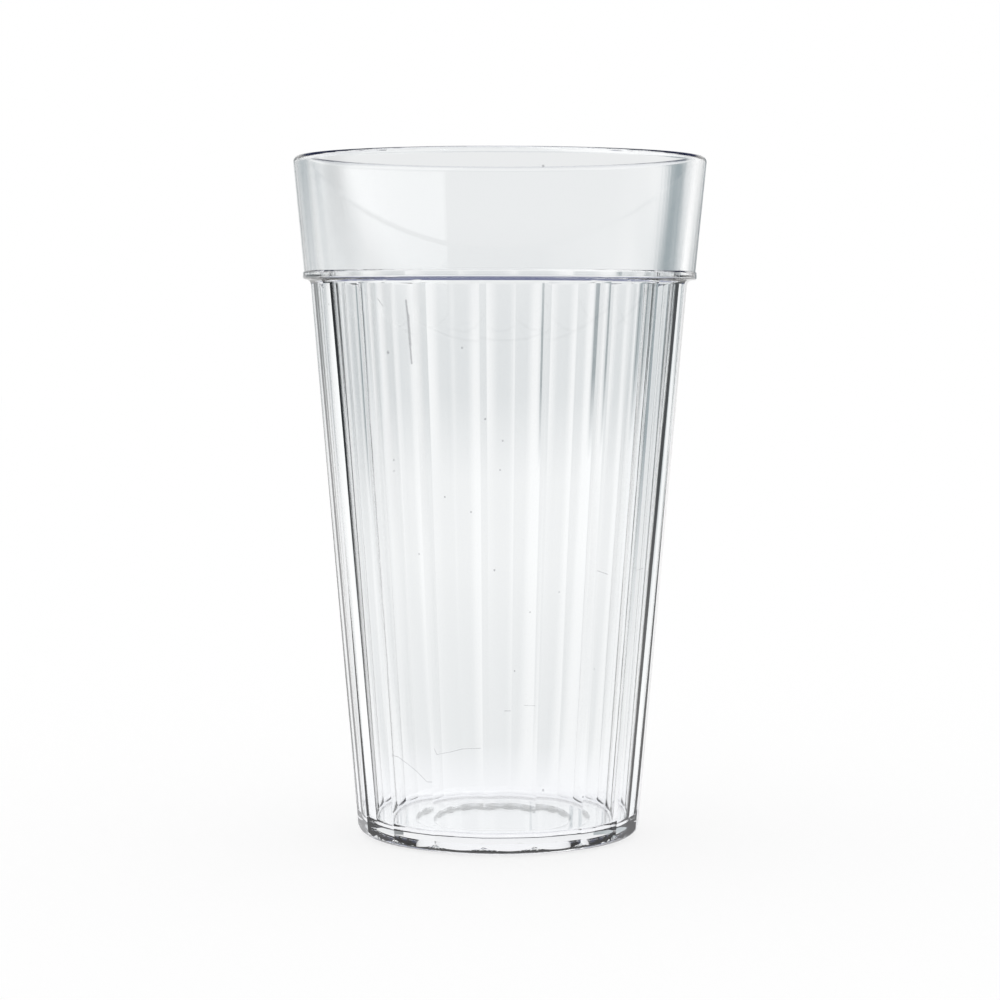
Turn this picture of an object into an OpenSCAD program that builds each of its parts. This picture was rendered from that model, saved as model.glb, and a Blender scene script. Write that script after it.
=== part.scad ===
// Clear stackable drinking tumbler, moulded in one piece.
// A smooth tapered collar with a rounded lip stands on a small bead; below the
// bead the body has flat tapering panels outside and a smooth cone inside.
// The origin is the centre of the base, +Z is up, and one panel faces -Y.

/* [Overall] */
// Height from the table to the top of the lip
cup_height = 141.8; // [125:0.1:160]
// Diameter over the widest part of the lip
rim_d = 86; // [84:0.1:92]

/* [Collar] */
// Outer diameter of the collar where it meets the bead
collar_d = 81.6; // [81:0.1:83.5]
// Wall of the collar at the lip
collar_wall = 2.8; // [2.4:0.1:3.2]
// Rounding of the lip's two edges
lip_round = 1.2; // [0.6:0.1:1.2]

/* [Bead] */
// Height of the underside of the bead, where a stacked cup would stop
bead_z = 116.3; // [108:0.1:120]
// Height of the bead
bead_h = 1.7; // [1.2:0.1:3]
// How far the bead stands out from the collar
bead_out = 0.25; // [0.1:0.05:0.8]
// Rounding of the bead's edges
bead_round = 0.45; // [0.2:0.05:0.55]

/* [Panels] */
// Number of flat panels round the body
panels = 18; // [14:1:24]
// Diameter across the panel corners at the top of the panels
panel_top_d = 78.8; // [77:0.1:79]
// Diameter across the panel corners, carried down to the table
panel_foot_d = 59; // [54:0.1:64]
// Hollow rounding between the panels and the underside of the bead
panel_top_round = 1.1; // [0.6:0.1:1.1]

/* [Foot] */
// Rounding of the foot
foot_round = 3; // [1.5:0.1:4]
// Diameter of the shallow recess under the base
recess_d = 34; // [20:0.5:46]
// Depth of the recess under the base
recess_depth = 1.5; // [0.5:0.1:2.5]

/* [Inside] */
// Wall at the middle of a panel, under the bead
top_wall = 1.1; // [0.9:0.1:2.4]
// Wall at the middle of a panel, level with the floor
foot_wall = 2.2; // [1.2:0.1:4]
// Floor thickness above the recess
floor_thick = 1.9; // [1.2:0.1:5]
// Rounding between the floor and the wall inside
floor_round = 2; // [1:0.5:10]

/* [Hidden] */
$fn = 96;

cup_clear = [0.90, 0.95, 0.98, 0.35];

rim_r = rim_d / 2;
// The collar always stands clear of the panels' hollow rounding
collar_r = max(collar_d / 2, panel_top_d / 2 + panel_top_round);
recess_r = recess_d / 2;
bead_top = bead_z + bead_h;
// Bead: centre line of its rounded edges, and where the upper one meets the collar
bead_edge_r = collar_r + bead_out - bead_round;
bead_end = acos(max(0, 1 - bead_out / bead_round));
collar_z = bead_top - bead_round * (1 - sin(bead_end));
// Lip: one rounding outside and one inside, each tangent to its own wall
lip_z = cup_height - lip_round;
lip_o = [rim_r - lip_round, lip_z];
lip_i = [rim_r - collar_wall + lip_round, lip_z];
// Tilt of a wall that rises from a point and touches a lip rounding on its
// outer side (side = 1) or its inner side (side = -1)
function wall_tilt(from, c, side) = atan((c[0] - from[0]) / (c[1] - from[1]))
    + side * asin(lip_round / norm(c - from));
out_tilt = wall_tilt([collar_r, collar_z], lip_o, 1);
// Panels: corner radius, and the nearer radius at the middle of a flat
flat = cos(180 / panels);
panel_z = bead_z - panel_top_round;
panel_slope = (panel_top_d - panel_foot_d) / 2 / panel_z;
panel_tilt = atan(panel_slope * flat);
function corner_r(z) = panel_foot_d / 2 + panel_slope * z;
function panel_r(z) = corner_r(z) * flat;
// The turned blank stands this far outside the corners at the foot and more
// above it, so the panels meet at crisp corners
blank_over = 0.1;
// The blank's bead also reaches this far below its finished underside
bead_over = 0.02;
blank_tilt = atan(panel_slope);
foot = [corner_r(foot_round) + blank_over - foot_round / cos(blank_tilt), foot_round];
foot_edge = foot + foot_round * [cos(blank_tilt), -sin(blank_tilt)];
// Inside: one cone from the rounded floor to the bead, and the collar's cone
// from there to the lip
floor_z = recess_depth + floor_thick;
in_top_r = panel_r(bead_z) - top_wall;
collar_in_tilt = wall_tilt([in_top_r, bead_z], lip_i, -1);
lip_in = lip_i + lip_round * [-cos(collar_in_tilt), sin(collar_in_tilt)];
in_foot_r = panel_r(floor_z) - foot_wall;
in_slope = (in_top_r - in_foot_r) / (bead_z - floor_z);
in_tilt = atan(in_slope);
function in_r(z) = in_foot_r + in_slope * (z - floor_z);
floor_c = [in_r(floor_z + floor_round) - floor_round / cos(in_tilt), floor_z + floor_round];
floor_edge = floor_c + floor_round * [cos(in_tilt), -sin(in_tilt)];
far = rim_r * 1.5;
lead = 2;

// Points along a small rounding, from one angle to another
function arc(c, r, from, to, steps = 6) =
    [for (i = [0 : steps]) let (a = from + (to - from) * i / steps) c + r * [cos(a), sin(a)]];

// Half section of everything outside, filled to the axis
module outer_half() {
    polygon(concat(
        [[0, recess_depth], [recess_r, recess_depth], [recess_r, 0], [foot[0], 0],
            foot, foot_edge, [bead_edge_r, panel_z]],
        arc([bead_edge_r, bead_z - bead_over + bead_round], bead_round, -90, 0),
        arc([bead_edge_r, bead_top - bead_round], bead_round, 0, bead_end),
        bead_out > bead_round ? [[collar_r, collar_z]] : [],
        arc(lip_o, lip_round, -out_tilt, 90),
        arc(lip_i, lip_round, 90, 180 - collar_in_tilt),
        [[0, lip_in[1]]]
    ));
    translate(foot) circle(r = foot_round);
}

// Half section of the space inside
module inner_half() {
    polygon([
        [0, floor_z], [floor_c[0], floor_z], floor_c, floor_edge,
        [in_top_r, bead_z], lip_in,
        [lip_in[0], cup_height + lead], [0, cup_height + lead]
    ]);
    intersection() {
        translate(floor_c) circle(r = floor_round);
        square([far, cup_height]);
    }
}

// The cup as turned, before its panels are cut
module turned_cup() {
    rotate_extrude() difference() {
        outer_half();
        inner_half();
    }
}

// What is cut away outside one panel: everything below the bead, with a
// hollow rounding left standing under the bead
module panel_cut() {
    round_c = [panel_r(panel_z) + panel_top_round / cos(panel_tilt), panel_z];
    width = 2 * far * tan(180 / panels);
    rotate([90, 0, 0]) linear_extrude(height = width, center = true) polygon(concat(
        [[panel_r(-lead), -lead], [far, -lead], [far, bead_z]],
        arc(round_c, panel_top_round, 90, 180 - panel_tilt)
    ));
}

module tumbler() {
    color(cup_clear)
    difference() {
        turned_cup();
        for (i = [0 : panels - 1]) rotate([0, 0, -90 + i * 360 / panels]) panel_cut();
    }
}

tumbler();
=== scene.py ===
"""Clear moulded tumbler on a pale table: one turned and panelled piece of rigid plastic."""
import math
import bpy
from mathutils import Matrix, Vector


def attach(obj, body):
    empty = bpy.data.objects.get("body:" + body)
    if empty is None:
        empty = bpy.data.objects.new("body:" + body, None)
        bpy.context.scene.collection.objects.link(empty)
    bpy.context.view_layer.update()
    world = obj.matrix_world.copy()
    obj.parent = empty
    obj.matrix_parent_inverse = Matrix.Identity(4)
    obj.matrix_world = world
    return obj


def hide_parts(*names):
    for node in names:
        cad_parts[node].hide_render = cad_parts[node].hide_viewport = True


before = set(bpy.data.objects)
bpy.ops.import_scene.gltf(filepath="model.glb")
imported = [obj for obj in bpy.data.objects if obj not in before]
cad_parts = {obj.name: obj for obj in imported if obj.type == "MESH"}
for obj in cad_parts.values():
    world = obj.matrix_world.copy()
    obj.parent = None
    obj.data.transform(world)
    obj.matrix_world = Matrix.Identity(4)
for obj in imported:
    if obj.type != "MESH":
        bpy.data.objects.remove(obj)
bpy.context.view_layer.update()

MM = 0.001

# Sizes of the cup, in millimetres
CUP_HEIGHT = 141.8
RIM_R = 43.0
COLLAR_R = 40.8
COLLAR_WALL = 2.8
LIP_ROUND = 1.2
BEAD_Z = 116.3
BEAD_H = 1.7
BEAD_OUT = 0.25
BEAD_ROUND = 0.45
PANELS = 18
CORNER_TOP_R = 39.4
CORNER_FOOT_R = 29.5
PANEL_TOP_ROUND = 1.1
FOOT_ROUND = 3.0
RECESS_R = 17.0
RECESS_DEPTH = 1.5
TOP_WALL = 1.1
FOOT_WALL = 2.2
FLOOR_THICK = 1.9
FLOOR_ROUND = 2.0
BLANK_OVER = 0.1             # the turned blank stands this far outside the panel corners
INSIDE_EASE = 2.4            # reach of the soft bend in the inside, level with the bead

# Values that follow from the sizes
BEAD_TOP = BEAD_Z + BEAD_H
PANEL_Z = BEAD_Z - PANEL_TOP_ROUND
FLOOR_Z = RECESS_DEPTH + FLOOR_THICK
CORNER_SLOPE = (CORNER_TOP_R - CORNER_FOOT_R) / PANEL_Z
FLAT_FOOT_R = CORNER_FOOT_R * math.cos(math.pi / PANELS)
FLAT_SLOPE = CORNER_SLOPE * math.cos(math.pi / PANELS)
FLAT_TILT = math.degrees(math.atan(FLAT_SLOPE))
FOOT_RING_R = (CORNER_FOOT_R + CORNER_SLOPE * FOOT_ROUND + BLANK_OVER
               - FOOT_ROUND / math.cos(math.atan(CORNER_SLOPE)))

# How finely the cup is made
COLUMNS_PER_PANEL = 30
FOOT_STEPS = 14
PANEL_STEPS = 16
HOLLOW_STEPS = 12
EASE_STEPS = 8
WALL_END = 0.25              # a straight wall has its first and last rows this close, in mm
POLE_RING = 0.125            # ring nearest to the axis, as a share of the flat's radius
RECESS_EDGE = 0.4            # extra row on the recess's edge, as a share of its depth
CREASE_DEGREES = 10          # edges sharper than this stay crisp
SAME_SPOT = 1e-6             # vertices nearer than this, in metres, are one

FRONT_AZIMUTH = 4.1          # the photographed front lies this far round from one panel

# How a row of the half section is placed
TURNED, FLAT, PANEL, FOOT = 0, 1, 2, 3


class HalfSection:
    """Rows of the cup from the middle of the underside, up the outside and down the inside.

    A row is (rule, x, z, share): a turned row keeps its radius, a flat row is held x from
    the axis at the middle of each panel, and panel and foot rows are set out by their share
    of the way between the top of the panels, the scalloped crease and the table.
    """

    def __init__(self):
        self.rows = []

    def turned(self, x, z):
        self.rows.append((TURNED, x, z, 0.0))

    def flat(self, x, z):
        self.rows.append((FLAT, x, z, 0.0))

    def shared(self, rule, share):
        self.rows.append((rule, 0.0, 0.0, share))

    def wall(self, start, end, steps):
        """A straight wall with a close row at each end, so its shading stays straight."""
        length = math.dist(start, end)
        close = min(WALL_END, length / 4) / length
        shares = [0.0, close] + [close + (1 - 2 * close) * (i + 1) / steps
                                 for i in range(steps)] + [1.0]
        for share in shares:
            self.turned(start[0] + (end[0] - start[0]) * share,
                        start[1] + (end[1] - start[1]) * share)

    def arc(self, centre, radius, start, end, steps):
        for i in range(1, steps):
            self.turned(*polar(centre, radius, start + (end - start) * i / steps))

    def eased_corner(self, enter, corner, leave):
        """A soft bend that touches the walls at enter and leave."""
        for i in range(1, EASE_STEPS):
            share = i / EASE_STEPS
            weights = (1 - share) ** 2, 2 * share * (1 - share), share ** 2
            self.turned(*(weights[0] * p + weights[1] * q + weights[2] * r
                          for p, q, r in zip(enter, corner, leave)))


def polar(centre, radius, degrees):
    angle = math.radians(degrees)
    return (centre[0] + radius * math.cos(angle), centre[1] + radius * math.sin(angle))


def part_way(start, end, reach):
    """The point that lies reach from start, towards end."""
    share = reach / math.dist(start, end)
    return tuple(s + (e - s) * share for s, e in zip(start, end))


def wall_tilt(foot, centre, radius, side):
    """Tilt of a wall that rises from foot and touches a rounding outside or inside."""
    run, rise = centre[0] - foot[0], centre[1] - foot[1]
    return (math.degrees(math.atan(run / rise))
            + side * math.degrees(math.asin(radius / math.hypot(run, rise))))


def flat_r(z):
    """Distance from the axis to the middle of a panel."""
    return FLAT_FOOT_R + FLAT_SLOPE * z


HOLLOW_C = (flat_r(PANEL_Z) + PANEL_TOP_ROUND / math.cos(math.radians(FLAT_TILT)), PANEL_Z)
LIP_OUT = (RIM_R - LIP_ROUND, CUP_HEIGHT - LIP_ROUND)
LIP_IN = (RIM_R - COLLAR_WALL + LIP_ROUND, CUP_HEIGHT - LIP_ROUND)
IN_TOP = (flat_r(BEAD_Z) - TOP_WALL, BEAD_Z)
IN_TILT = wall_tilt(IN_TOP, LIP_IN, LIP_ROUND, -1)


def add_base_and_panels(section):
    """From the middle of the underside to the underside of the bead."""
    section.turned(0, RECESS_DEPTH)
    section.wall((POLE_RING * RECESS_R, RECESS_DEPTH), (RECESS_R, RECESS_DEPTH), steps=3)
    section.turned(RECESS_R, RECESS_EDGE * RECESS_DEPTH)
    section.wall((RECESS_R, 0), (FOOT_RING_R, 0), steps=1)
    for i in range(FOOT_STEPS - 1, 0, -1):
        section.shared(FOOT, i / FOOT_STEPS)
    # Close rows at both ends keep the panels' shading flat
    between = [i / PANEL_STEPS for i in range(PANEL_STEPS - 1, 0, -1)]
    for share in [1.0, 0.998] + between + [0.004, 0.002]:
        section.shared(PANEL, share)
    for i in range(HOLLOW_STEPS + 1):
        turn = (90 - FLAT_TILT) * (i / HOLLOW_STEPS)
        section.flat(*polar(HOLLOW_C, PANEL_TOP_ROUND, 180 - FLAT_TILT - turn))


def add_bead_and_collar(section):
    """From the underside of the bead to the inner edge of the lip."""
    edge_r = COLLAR_R + BEAD_OUT - BEAD_ROUND
    bead_end = math.degrees(math.acos(1 - BEAD_OUT / BEAD_ROUND))
    lower, upper = (edge_r, BEAD_Z + BEAD_ROUND), (edge_r, BEAD_TOP - BEAD_ROUND)
    collar_foot = polar(upper, BEAD_ROUND, bead_end)
    section.turned(edge_r, BEAD_Z)
    section.arc(lower, BEAD_ROUND, -90, 0, steps=9)
    section.wall((edge_r + BEAD_ROUND, lower[1]), (edge_r + BEAD_ROUND, upper[1]), steps=1)
    section.arc(upper, BEAD_ROUND, 0, bead_end, steps=6)

    out_tilt = wall_tilt(collar_foot, LIP_OUT, LIP_ROUND, 1)
    section.wall(collar_foot, polar(LIP_OUT, LIP_ROUND, -out_tilt), steps=6)
    section.arc(LIP_OUT, LIP_ROUND, -out_tilt, 90, steps=12)
    section.wall((LIP_OUT[0], CUP_HEIGHT), (LIP_IN[0], CUP_HEIGHT), steps=1)
    section.arc(LIP_IN, LIP_ROUND, 90, 180 - IN_TILT, steps=12)


def add_inside(section):
    """From the lip down: collar, soft bend, body and floor."""
    in_foot = flat_r(FLOOR_Z) - FOOT_WALL
    in_slope = (IN_TOP[0] - in_foot) / (BEAD_Z - FLOOR_Z)
    body_tilt = math.degrees(math.atan(in_slope))
    floor_c = (in_foot + in_slope * FLOOR_ROUND
               - FLOOR_ROUND / math.cos(math.radians(body_tilt)), FLOOR_Z + FLOOR_ROUND)
    lip_end = polar(LIP_IN, LIP_ROUND, 180 - IN_TILT)
    body_end = polar(floor_c, FLOOR_ROUND, -body_tilt)
    enter = part_way(IN_TOP, lip_end, INSIDE_EASE)
    leave = part_way(IN_TOP, body_end, INSIDE_EASE)
    section.wall(lip_end, enter, steps=5)
    section.eased_corner(enter, IN_TOP, leave)
    section.wall(leave, body_end, steps=12)
    section.arc(floor_c, FLOOR_ROUND, -body_tilt, -90, steps=22)
    section.wall((floor_c[0], FLOOR_Z), (POLE_RING * floor_c[0], FLOOR_Z), steps=3)
    section.turned(0, FLOOR_Z)


class Wire:
    """One output of a node tree. Arithmetic on wires adds Math nodes to that tree."""

    def __init__(self, tree, socket):
        self.tree, self.socket = tree, socket

    def math(self, operation, *others):
        inputs = dict(enumerate((self,) + others))
        return wire(self.tree, "ShaderNodeMath", 0, {"operation": operation}, inputs)

    def __add__(self, other):
        return self.math("ADD", other)

    def __sub__(self, other):
        return self.math("SUBTRACT", other)

    def __mul__(self, other):
        return self.math("MULTIPLY", other)

    def __truediv__(self, other):
        return self.math("DIVIDE", other)

    def times_plus(self, factor, extra):
        return self.math("MULTIPLY_ADD", factor, extra)

    def clamped(self):
        return self.math("MAXIMUM", 0.0).math("MINIMUM", 1.0)

    def is_rule(self, rule):
        return self.math("COMPARE", float(rule), 0.5)


def add_node(tree, kind, settings=None, inputs=None):
    """A node with its settings; each input is given a wire or a plain value."""
    node = tree.nodes.new(kind)
    for name, value in (settings or {}).items():
        setattr(node, name, value)
    for name, value in (inputs or {}).items():
        if isinstance(value, Wire):
            tree.links.new(value.socket, node.inputs[name])
        else:
            node.inputs[name].default_value = value
    return node


def wire(tree, kind, output, settings=None, inputs=None):
    return Wire(tree, add_node(tree, kind, settings, inputs).outputs[output])


def split_xyz(tree, vector):
    place = add_node(tree, "ShaderNodeSeparateXYZ", None, {"Vector": vector})
    return (Wire(tree, place.outputs[name]) for name in "XYZ")


def blend(tree, share, low, high):
    """A colour between two; the Mix node's colour sockets are its numbers 6, 7 and 2."""
    return wire(tree, "ShaderNodeMix", 2, {"data_type": "RGBA"}, {0: share, 6: low, 7: high})


def new_group(name, kind, takes, gives):
    """A node group, and a wire from each of its inputs."""
    tree = bpy.data.node_groups.new(name, kind)
    sockets = [(label, "INPUT", socket) for socket, labels in takes for label in labels]
    sockets.append((gives[0], "OUTPUT", gives[1]))
    for label, in_out, socket in sockets:
        tree.interface.new_socket(label, in_out=in_out, socket_type="NodeSocket" + socket)
    given = tree.nodes.new("NodeGroupInput")
    return tree, {socket.name: Wire(tree, socket) for socket in given.outputs if socket.name}


def add_object(name, data):
    added = bpy.data.objects.new(name, data)
    bpy.context.collection.objects.link(added)
    return added


def on_outer_face(x, y, z):
    """1 where a point in metres lies nearer the outer face than the inner one."""
    between_foot, between_slope = 28 * MM, 0.09
    return (x * x + y * y).math("SQRT").math("GREATER_THAN", z * between_slope + between_foot)


def cup_tree(plain, worn):
    """Turns the half section and flattens its panels; the section is the tree's input."""
    tree, ask = new_group(
        "turned_and_panelled_cup", "GeometryNodeTree",
        [("Geometry", ["Half section"]), ("Int", ["Panels", "Columns per panel"]),
         ("Float", ["Top of panels", "Flat at table", "Flat slope", "Foot ring",
                    "Foot rounding", "Crease angle"])], ("Cup", "Geometry"))

    rows = wire(tree, "GeometryNodeAttributeDomainSize", "Point Count", {"component": "MESH"},
                {"Geometry": ask["Half section"]})
    columns = ask["Panels"] * ask["Columns per panel"]
    sheet = wire(tree, "GeometryNodeMeshGrid", "Mesh", None,
                 {"Vertices X": columns + 1.0, "Vertices Y": rows})
    index = wire(tree, "GeometryNodeInputIndex", "Index")
    column = (index / rows).math("FLOOR")
    row = index - column * rows

    def sampled(kind, field):
        return wire(tree, "GeometryNodeSampleIndex", "Value",
                    {"data_type": kind, "domain": "POINT"},
                    {"Geometry": ask["Half section"], "Value": field, "Index": row})

    def sampled_value(name):
        return sampled("FLOAT", wire(tree, "GeometryNodeInputNamedAttribute", "Attribute",
                                     {"data_type": "FLOAT"}, {"Name": name}))

    position = wire(tree, "GeometryNodeInputPosition", "Position")
    row_x, _, row_z = split_xyz(tree, sampled("FLOAT_VECTOR", position))
    rule, share = sampled_value("rule"), sampled_value("share")

    panel_angle = ask["Panels"].math("POWER", -1.0) * (2 * math.pi)
    in_panel = column.math("MODULO", ask["Columns per panel"]) / ask["Columns per panel"]
    off_middle = (in_panel - 0.5) * panel_angle
    turn = column / ask["Columns per panel"] * panel_angle - panel_angle * 0.5 - math.pi / 2
    flatten = off_middle.math("COSINE")

    # Angle on the foot's rounding where a panel runs out into it
    lean = ask["Flat slope"] / flatten
    reach = (ask["Foot rounding"].times_plus(ask["Flat slope"], ask["Flat at table"]) / flatten
             - ask["Foot ring"]) / ask["Foot rounding"]
    steep = (lean * lean + 1.0).math("SQRT")
    crease = ((reach / steep).math("ARCCOSINE") + lean.math("ARCTANGENT")) * -1.0
    crease_z = (crease.math("SINE") + 1.0) * ask["Foot rounding"]

    panel_z = ask["Top of panels"] + (crease_z - ask["Top of panels"]) * share
    panel_r = panel_z.times_plus(ask["Flat slope"], ask["Flat at table"]) / flatten
    foot_angle = crease + (crease * -1.0 - math.pi / 2) * share
    foot_r = foot_angle.math("COSINE").times_plus(ask["Foot rounding"], ask["Foot ring"])
    foot_z = (foot_angle.math("SINE") + 1.0) * ask["Foot rounding"]

    radius = (rule.is_rule(TURNED) * row_x + rule.is_rule(FLAT) * (row_x / flatten)
              + rule.is_rule(PANEL) * panel_r + rule.is_rule(FOOT) * foot_r)
    height = ((rule.is_rule(TURNED) + rule.is_rule(FLAT)) * row_z
              + rule.is_rule(PANEL) * panel_z + rule.is_rule(FOOT) * foot_z)
    spot = wire(tree, "ShaderNodeCombineXYZ", "Vector", None,
                {"X": turn.math("COSINE") * radius, "Y": turn.math("SINE") * radius,
                 "Z": height})
    spot_m = wire(tree, "ShaderNodeVectorMath", "Vector", {"operation": "SCALE"},
                  {"Vector": spot, "Scale": MM})

    def geometry(kind, settings, inputs):
        return wire(tree, kind, "Geometry", settings, inputs)

    cup = geometry("GeometryNodeSetPosition", None, {"Geometry": sheet, "Position": spot_m})
    cup = geometry("GeometryNodeMergeByDistance", None,
                   {"Geometry": cup, "Distance": SAME_SPOT})
    angle = wire(tree, "GeometryNodeInputMeshEdgeAngle", "Unsigned Angle")
    sharp = wire(tree, "FunctionNodeCompare", "Result", {"operation": "GREATER_THAN"},
                 {0: angle, 1: ask["Crease angle"]})
    cup = geometry("GeometryNodeSetShadeSmooth", {"domain": "EDGE"},
                   {"Geometry": cup, "Selection": sharp, "Shade Smooth": False})
    cup = geometry("GeometryNodeRealizeInstances", None, {"Geometry": cup})
    cup = geometry("GeometryNodeSetMaterial", None, {"Geometry": cup, "Material": plain})
    x, y, z = split_xyz(tree, wire(tree, "GeometryNodeInputPosition", "Position"))
    front_outside = on_outer_face(x, y, z) * y.math("LESS_THAN", 0.0)
    cup = geometry("GeometryNodeSetMaterial", None,
                   {"Geometry": cup, "Selection": front_outside, "Material": worn})
    add_node(tree, "NodeGroupOutput", None, {"Cup": cup})
    return tree


def make_cup(plain, worn):
    section = HalfSection()
    for add_part in (add_base_and_panels, add_bead_and_collar, add_inside):
        add_part(section)
    rows = section.rows
    mesh = bpy.data.meshes.new("half_section")
    mesh.from_pydata([(x, 0.0, z) for _, x, z, _ in rows],
                     [(i, i + 1) for i in range(len(rows) - 1)], [])
    for name, column in (("rule", 0), ("share", 3)):
        values = mesh.attributes.new(name, "FLOAT", "POINT")
        values.data.foreach_set("value", [float(row[column]) for row in rows])
    turned = add_object("half_section", mesh)
    tree = cup_tree(plain, worn)
    turning = turned.modifiers.new("turn_and_panel", "NODES")
    turning.node_group = tree
    panel_top = polar(HOLLOW_C, PANEL_TOP_ROUND, 180 - FLAT_TILT)[1]
    sizes = {"Panels": PANELS, "Columns per panel": COLUMNS_PER_PANEL,
             "Top of panels": panel_top, "Flat at table": FLAT_FOOT_R,
             "Flat slope": FLAT_SLOPE, "Foot ring": FOOT_RING_R,
             "Foot rounding": FOOT_ROUND, "Crease angle": math.radians(CREASE_DEGREES)}
    for item in tree.interface.items_tree:
        if item.in_out == "INPUT" and item.name in sizes:
            turning[item.identifier] = sizes[item.name]
    bpy.context.view_layer.update()
    evaluated = turned.evaluated_get(bpy.context.evaluated_depsgraph_get())
    finished = bpy.data.meshes.new_from_object(evaluated)
    turned.modifiers.remove(turning)
    bpy.data.objects.remove(turned)
    return add_object("clear_cup", finished)


def new_material(name):
    material = bpy.data.materials.new(name)
    material.use_nodes = True
    material.node_tree.nodes.clear()
    return material, material.node_tree


# Wear on the outer face: (angle from the front panel in degrees, height in mm) along each
# hairline with its width in mm, and each speck with its radius
HAIRLINES = [
    (0.10, [(-48.6, 19.5), (-45.8, 19.3), (-41.2, 18.0), (-37.0, 16.7), (-32.5, 14.8),
            (-30.1, 14.9)]),
    (0.09, [(-28.8, 21.8), (-27.8, 20.6), (-22.3, 21.3), (-17.6, 22.0), (-10.7, 22.3)]),
    (0.12, [(-2.1, 29.9), (0.1, 29.9)]),
    (0.07, [(5.0, 31.0), (8.9, 30.9)]),
    (0.12, [(30.7, 57.8), (35.7, 56.9)]),
    (0.09, [(49.9, 57.2), (55.7, 57.3)]),
    (0.13, [(-43.0, 112.1), (-41.3, 110.7)]),
    (0.40, [(-32.6, 111.8), (-32.0, 107.0), (-31.5, 99.4)]),
    (0.55, [(-32.1, 109.0), (-31.7, 103.0)]),
]
SPECKS = [
    (6.5, 49.9, 0.12), (16.7, 53.8, 0.12), (72.8, 56.0, 0.14), (-40.3, 101.5, 0.24),
    (-67.6, 111.1, 0.14), (-15.4, 102.5, 0.16), (-8.5, 88.5, 0.16), (-3.1, 84.2, 0.15),
    (-3.9, 78.4, 0.14), (-13.3, 70.0, 0.16), (-22.0, 72.9, 0.15), (-31.7, 61.3, 0.14),
    (-5.7, 58.4, 0.17), (-40.2, 80.0, 0.15), (-40.4, 77.8, 0.13), (12.9, 13.5, 0.22),
    (29.9, 11.5, 0.18), (47.2, 9.4, 0.20), (1.4, 38.0, 0.13), (32.0, 37.7, 0.13),
    (7.2, 137.9, 0.2),
]
WEAR_R = 34.0                # radius at which the wear's angles are laid out flat
WEAR_STRENGTH = 0.75         # how far a mark goes from clear to grime


def wear_mark_group():
    """A short straight mark between two spots on the unrolled face, 1 on it and 0 off it."""
    tree, ask = new_group("wear_mark", "ShaderNodeTree",
                          [("Vector", ["Spot", "Start", "End"]), ("Float", ["Half width"])],
                          ("Mark", "Float"))

    def vector(operation, output, inputs):
        return wire(tree, "ShaderNodeVectorMath", output, {"operation": operation}, inputs)

    along = vector("SUBTRACT", "Vector", {0: ask["End"], 1: ask["Start"]})
    off = vector("SUBTRACT", "Vector", {0: ask["Spot"], 1: ask["Start"]})
    share = (vector("DOT_PRODUCT", "Value", {0: off, 1: along})
             / vector("DOT_PRODUCT", "Value", {0: along, 1: along})).clamped()
    nearest = vector("SCALE", "Vector", {0: along, "Scale": share})
    gap = vector("LENGTH", "Value", {0: vector("SUBTRACT", "Vector", {0: off, 1: nearest})})
    mark = (gap / ask["Half width"] * -1.0 + 1.5).clamped()
    add_node(tree, "NodeGroupOutput", None, {"Mark": mark})
    return tree


def wear(tree, where):
    """All hairlines and specks as one mask."""
    x, y, z = split_xyz(tree, where)
    angle = x.math("ARCTAN2", y * -1.0)
    spot = wire(tree, "ShaderNodeCombineXYZ", "Vector", None,
                {"X": angle * WEAR_R, "Y": z / MM})
    group = wear_mark_group()
    strokes = [(start, end, width / 2) for width, line in HAIRLINES
               for start, end in zip(line, line[1:])]
    strokes += [((degrees, height - radius / 4), (degrees, height + radius / 4), radius)
                for degrees, height, radius in SPECKS]

    def unrolled(degrees, height):
        return (math.radians(degrees) * WEAR_R, height, 0.0)

    total = None
    for start, end, half_width in strokes:
        mark = wire(tree, "ShaderNodeGroup", "Mark", {"node_tree": group},
                    {"Spot": spot, "Start": unrolled(*start), "End": unrolled(*end),
                     "Half width": half_width})
        total = mark if total is None else total.math("MAXIMUM", mark)
    return total


CLEAR = (0.985, 0.992, 0.995, 1.0)
GRIME = (0.10, 0.11, 0.13, 1.0)


def clear_plastic(name, worn):
    """Clear rigid plastic, glossy, with faint moulding waves, and wear where it is handled."""
    material, tree = new_material(name)
    where = wire(tree, "ShaderNodeTexCoord", "Object")
    waves = wire(tree, "ShaderNodeTexNoise", "Fac", None,
                 {"Vector": where, "Scale": 60.0, "Detail": 2.0, "Roughness": 0.5})
    normal = wire(tree, "ShaderNodeBump", "Normal", None,
                  {"Height": waves, "Strength": 0.004, "Distance": 0.002})
    color = blend(tree, wear(tree, where) * WEAR_STRENGTH, CLEAR, GRIME) if worn else CLEAR
    surface = wire(tree, "ShaderNodeBsdfPrincipled", "BSDF", None, {
        "Base Color": color, "Roughness": 0.0, "IOR": 1.58,
        "Transmission Weight": 1.0, "Normal": normal})
    add_node(tree, "ShaderNodeOutputMaterial", None, {"Surface": surface})
    return material


cup = make_cup(clear_plastic("clear_rigid_plastic", False),
               clear_plastic("clear_rigid_plastic_worn", True))
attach(cup, "root")
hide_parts("tumbler")


def facing(x, y, z):
    """A point given right of, behind and above the base, as the front view sees it."""
    turn = math.radians(-FRONT_AZIMUTH)
    return Vector((x * math.cos(turn) - y * math.sin(turn),
                   x * math.sin(turn) + y * math.cos(turn), z))


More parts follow.
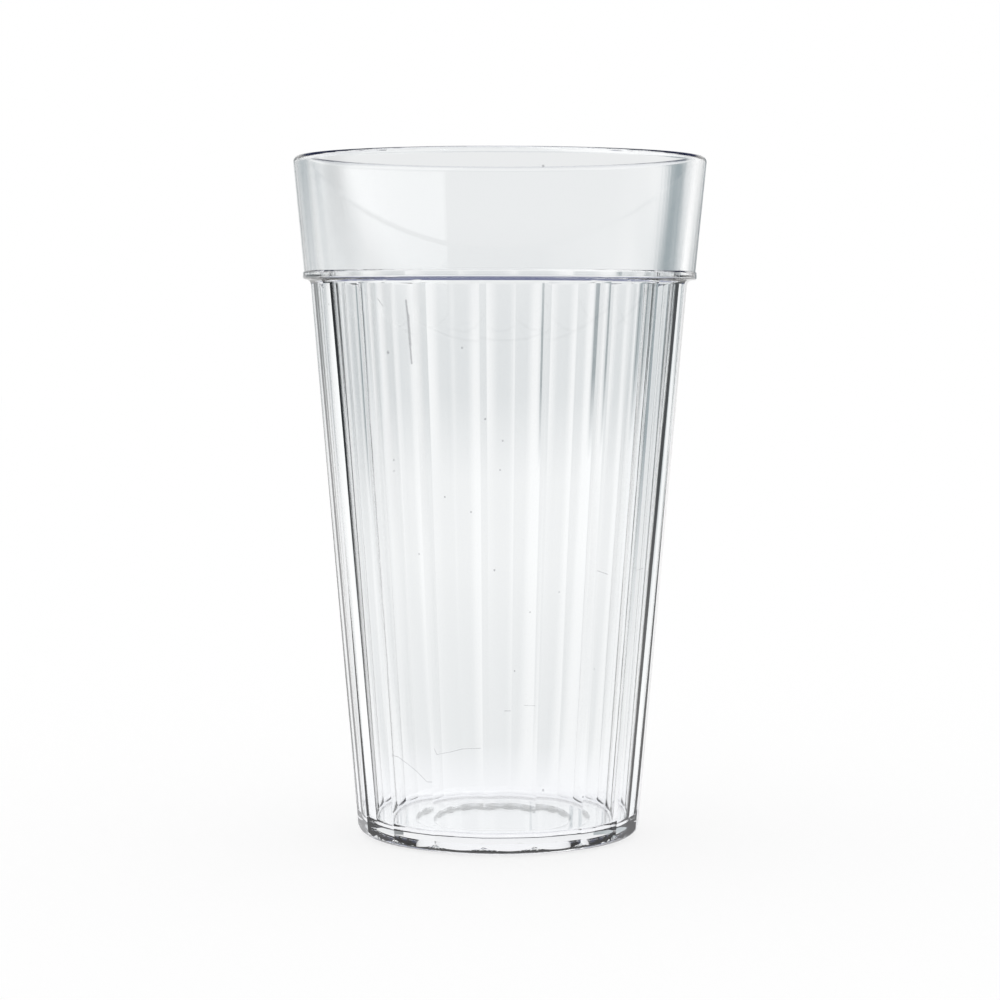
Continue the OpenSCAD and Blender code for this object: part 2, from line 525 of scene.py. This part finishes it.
# Tones of the room as the cup sees it, glowing and lighting nothing: painted reflections
# and refractions with their dark bands, from -180 to 180 degrees round it, 0 straight
# behind it in the front view and positive to the right
WALL_LOW = [
    (-180, 0.92), (-110, 0.92), (-88, 0.7), (-80, 0.1), (-68, 0.1), (-60, 1.0), (-46, 0.86),
    (-38, 0.6), (-33, 0.8), (-29, 0.5), (-24, 0.95), (-20, 0.65), (-14, 1.0), (-9, 0.92),
    (-4, 0.75), (3, 0.75), (7, 0.93), (11, 0.93), (12.3, 0.3), (16, 0.3), (17.5, 0.6),
    (20, 0.35), (24, 0.96), (28, 0.5), (33, 1.01), (46, 1.1), (51, 0.36), (64, 0.36),
    (72, 0.7), (85, 0.9), (110, 0.9), (180, 0.92)]
WALL_HIGH = [
    (-180, 0.92), (-90, 0.92), (-65, 1.0), (-50, 0.55), (-36, 0.45), (-31, 0.45),
    (-24, 0.91), (-20, 0.4), (-15, 0.76), (-10, 0.92), (-5, 0.84), (6, 0.84),
    (12.4, 0.95), (13, 0.37), (19.4, 0.37), (20.2, 0.9), (36, 1.01), (50, 0.66),
    (58, 0.1), (72, 0.3), (90, 0.05), (110, 0.5), (125, 0.92), (180, 0.92)]
WALL_UPPER = [(-180, 0.95), (180, 0.95)]
WALL_TOP = [(-180, 0.92), (-110, 0.92), (-80, 0.13), (80, 0.13), (110, 0.92), (180, 0.92)]
# The table's rings are painted reflections of the room's darker bands in a glossy table; they
# glow, are seen only in and through the plastic, and the foot of the wall carries the far ring
# on
TABLE_FAR = [
    (-180, 0.92), (-95, 0.92), (-88, 0.34), (-64, 0.34), (-58, 1.1), (-45, 1.06),
    (-32, 1.01), (-25, 0.86), (-15, 0.98), (-5, 0.9), (3, 0.9), (7, 1.0), (38, 1.1),
    (44, 0.6), (57, 0.4), (62, 0.36), (88, 0.36), (100, 0.92), (180, 0.92)]
TABLE_NEAR = [
    (-180, 0.92), (-110, 0.92), (-52, 1.1), (-38, 0.91), (-25, 0.96), (-12, 0.84),
    (2, 0.82), (10, 0.94), (25, 0.96), (38, 1.01), (50, 1.06), (75, 0.8), (100, 0.92),
    (180, 0.92)]

# How the darker greys lean in red, green and blue
BLUE_GREEN = (0.86, 1.0, 1.06)
NAVY = (0.8, 0.95, 1.9)
NEUTRAL = (1.0, 1.0, 1.0)

# Rings of the wall, each with the heights in metres between which it takes over
WALL_RINGS = [(0.0, 0.05, WALL_LOW, BLUE_GREEN), (0.08, 0.16, WALL_HIGH, BLUE_GREEN),
              (0.28, 0.34, WALL_UPPER, NEUTRAL), (0.42, 0.52, WALL_TOP, NAVY)]
LEAN_GAIN = 2.5              # how soon a darker grey has its full lean
WHITE = (1.0, 1.0, 1.0, 1.0)
UNDER_CUP = (0.97, 0.97, 0.99, 1.0)

# A bright patch painted on the wall on the right, in front of the cup, a painted reflection
# of a large soft light that lights nothing: its two side edges in degrees, and its lower
# edge in metres, each from where it starts to where it is full
SOFTBOX_GLOW = (1.8, 1.8, 1.8, 1.0)
SOFTBOX_GLOW_SIDES, SOFTBOX_GLOW_FOOT = [(55, 75), (145, 144)], (0.29, 0.33)

# Distances from the axis in metres over which the table's near tones take over from the
# white under the cup, and then its far tones from them
NEAR_TONES, FAR_TONES = (0.04, 0.12), (0.15, 0.6)
OWN_WHITE = 0.75             # share of the table's white that needs no light


def tone_ring(tree, azimuth, stops, shade):
    """A soft ring of greys by the angle round the cup."""
    ring = add_node(tree, "ShaderNodeValToRGB", None, {"Fac": azimuth / 360.0 + 0.5})
    ramp = ring.color_ramp
    for i, (degrees, tone) in enumerate(stops):
        spot = (degrees + 180) / 360
        stop = ramp.elements[i] if i < 2 else ramp.elements.new(spot)
        stop.position = spot
        lean = min(1.0, LEAN_GAIN * (1 - tone) ** 2)
        stop.color = (*(tone * (1 + (tint - 1) * lean) for tint in shade), 1.0)
    return Wire(tree, ring.outputs["Color"])


def round_the_cup(tree):
    """Azimuth in degrees as the front view counts it, distance from the axis and height."""
    x, y, z = split_xyz(tree, wire(tree, "ShaderNodeTexCoord", "Object"))
    turn = math.radians(-FRONT_AZIMUTH)
    right = x * math.cos(turn) + y * math.sin(turn)
    behind = y * math.cos(turn) - x * math.sin(turn)
    return (right.math("ARCTAN2", behind) * (180 / math.pi),
            (x * x + y * y).math("SQRT"), z)


def ramp_share(value, low, high):
    return ((value - low) / (high - low)).clamped()


def glow(tree, color):
    return wire(tree, "ShaderNodeEmission", "Emission", None,
                {"Color": color, "Strength": 1.0})


def mix_surfaces(tree, share, first, second):
    return wire(tree, "ShaderNodeMixShader", "Shader", None,
                {"Fac": share, 1: first, 2: second})


def painted_room_reflections():
    """The room's wall, seen only in and through the plastic, glowing with painted reflections
    and refractions; it lights nothing.
    """
    material, tree = new_material("painted_room_reflections")
    azimuth, _, height = round_the_cup(tree)
    tones = tone_ring(tree, azimuth, TABLE_FAR, BLUE_GREEN)
    for low, high, stops, shade in WALL_RINGS:
        tones = blend(tree, ramp_share(height, low, high), tones,
                      tone_ring(tree, azimuth, stops, shade))
    # The painted reflection of the soft light: a bright patch on the wall
    near_side, far_side = (ramp_share(azimuth, *edge) for edge in SOFTBOX_GLOW_SIDES)
    light = near_side * far_side * ramp_share(height, *SOFTBOX_GLOW_FOOT)
    tones = blend(tree, light, tones, SOFTBOX_GLOW)
    add_node(tree, "ShaderNodeOutputMaterial", None, {"Surface": glow(tree, tones)})
    return material


def white_table():
    """White with the cup's soft shadow; in and through the plastic it glows instead, near
    white under the cup and with painted reflections of the room's darker bands further out.
    """
    material, tree = new_material("white_table")
    azimuth, distance, _ = round_the_cup(tree)
    tones = blend(tree, ramp_share(distance, *FAR_TONES),
                  tone_ring(tree, azimuth, TABLE_NEAR, BLUE_GREEN),
                  tone_ring(tree, azimuth, TABLE_FAR, BLUE_GREEN))
    tones = blend(tree, ramp_share(distance, *NEAR_TONES), UNDER_CUP, tones)
    path = add_node(tree, "ShaderNodeLightPath")
    camera_ray, through_plastic, in_gloss = (
        Wire(tree, path.outputs[name])
        for name in ("Is Camera Ray", "Is Transmission Ray", "Is Glossy Ray"))
    lit_white = wire(tree, "ShaderNodeBsdfDiffuse", "BSDF", None, {"Color": WHITE})
    # Seen straight on, most of the white is its own, so the shadow stays faint
    seen_directly = mix_surfaces(tree, camera_ray * OWN_WHITE, lit_white, glow(tree, WHITE))
    # In and through the plastic the table is not lit but glows with its painted reflection
    # tones
    surface = mix_surfaces(tree, through_plastic.math("MAXIMUM", in_gloss), seen_directly,
                           glow(tree, tones))
    add_node(tree, "ShaderNodeOutputMaterial", None, {"Surface": surface})
    return material


# The room, in metres: radius and top of its wall, half width of the table, and how far
# both start under the cup; the wall is round enough with this many sides
ROOM_R, ROOM_TOP, TABLE_HALF, UNDER = 1.1, 1.0, 3.0, -0.0002
ROOM_SIDES = 96


def surrounding(name, vertices, faces, material):
    """A part of the room round the cup."""
    mesh = bpy.data.meshes.new(name)
    mesh.from_pydata(vertices, [], faces)
    mesh.materials.append(material)
    return add_object(name, mesh)


def room_wall():
    """Wall and ceiling, which the camera and the table don't see."""
    turns = [2 * math.pi * i / ROOM_SIDES for i in range(ROOM_SIDES)]
    vertices = [(ROOM_R * math.cos(turn), ROOM_R * math.sin(turn), z)
                for turn in turns for z in (UNDER, ROOM_TOP)]
    count = len(vertices)
    sides = [(i, i + 1, (i + 3) % count, (i + 2) % count) for i in range(0, count, 2)]
    ceiling = tuple(range(1, count, 2))
    wall = surrounding("room_wall", vertices, sides + [ceiling], painted_room_reflections())
    wall.visible_camera = wall.visible_diffuse = wall.visible_shadow = False


def table():
    """The table and the floor beyond it, as one plane."""
    vertices = [facing(x * TABLE_HALF, y * TABLE_HALF, UNDER)
                for x, y in ((-1, -1), (1, -1), (1, 1), (-1, 1))]
    surrounding("table", vertices, [(0, 1, 2, 3)], white_table())


def white_world():
    world = bpy.data.worlds.new("white_surround")
    world.use_nodes = True
    tree = world.node_tree
    tree.nodes.clear()
    surround = wire(tree, "ShaderNodeBackground", "Background", None,
                    {"Color": WHITE, "Strength": 1.0})
    add_node(tree, "ShaderNodeOutputWorld", None, {"Surface": surround})
    bpy.context.scene.world = world


room_wall()
table()
white_world()

# The photograph's camera: distance and height in metres, tilt and roll in degrees, and
# focal length in pixels of a picture this wide
CAMERA_DISTANCE, CAMERA_HEIGHT, CAMERA_TILT, CAMERA_ROLL = 0.61774, 0.10951, 3.643, 0.105
FOCAL_PIXELS, PICTURE_PIXELS = 2948.2, 1000
SENSOR_WIDTH = 36.0
PICTURE_SHIFT = 0.0006


def front_camera():
    """The photograph's view."""
    tilt, roll = math.radians(CAMERA_TILT), math.radians(CAMERA_ROLL)
    ahead = facing(0, math.cos(tilt), -math.sin(tilt))
    right = facing(1, 0, 0)
    up = right.cross(ahead)
    rolled_right = right * math.cos(roll) + up * math.sin(roll)
    rolled_up = up * math.cos(roll) - right * math.sin(roll)
    camera = bpy.data.cameras.new("front_camera")
    camera.sensor_fit = "HORIZONTAL"
    camera.sensor_width = SENSOR_WIDTH
    camera.lens = FOCAL_PIXELS * SENSOR_WIDTH / PICTURE_PIXELS
    camera.shift_x = PICTURE_SHIFT
    camera.clip_start = 0.01
    holder = add_object("front_camera", camera)
    turn = Matrix((rolled_right, rolled_up, -ahead)).transposed()
    place = facing(0, -CAMERA_DISTANCE, CAMERA_HEIGHT)
    holder.matrix_world = Matrix.Translation(place) @ turn.to_4x4()
    bpy.context.scene.camera = holder


front_camera()
bpy.context.scene.view_settings.view_transform = "Standard"
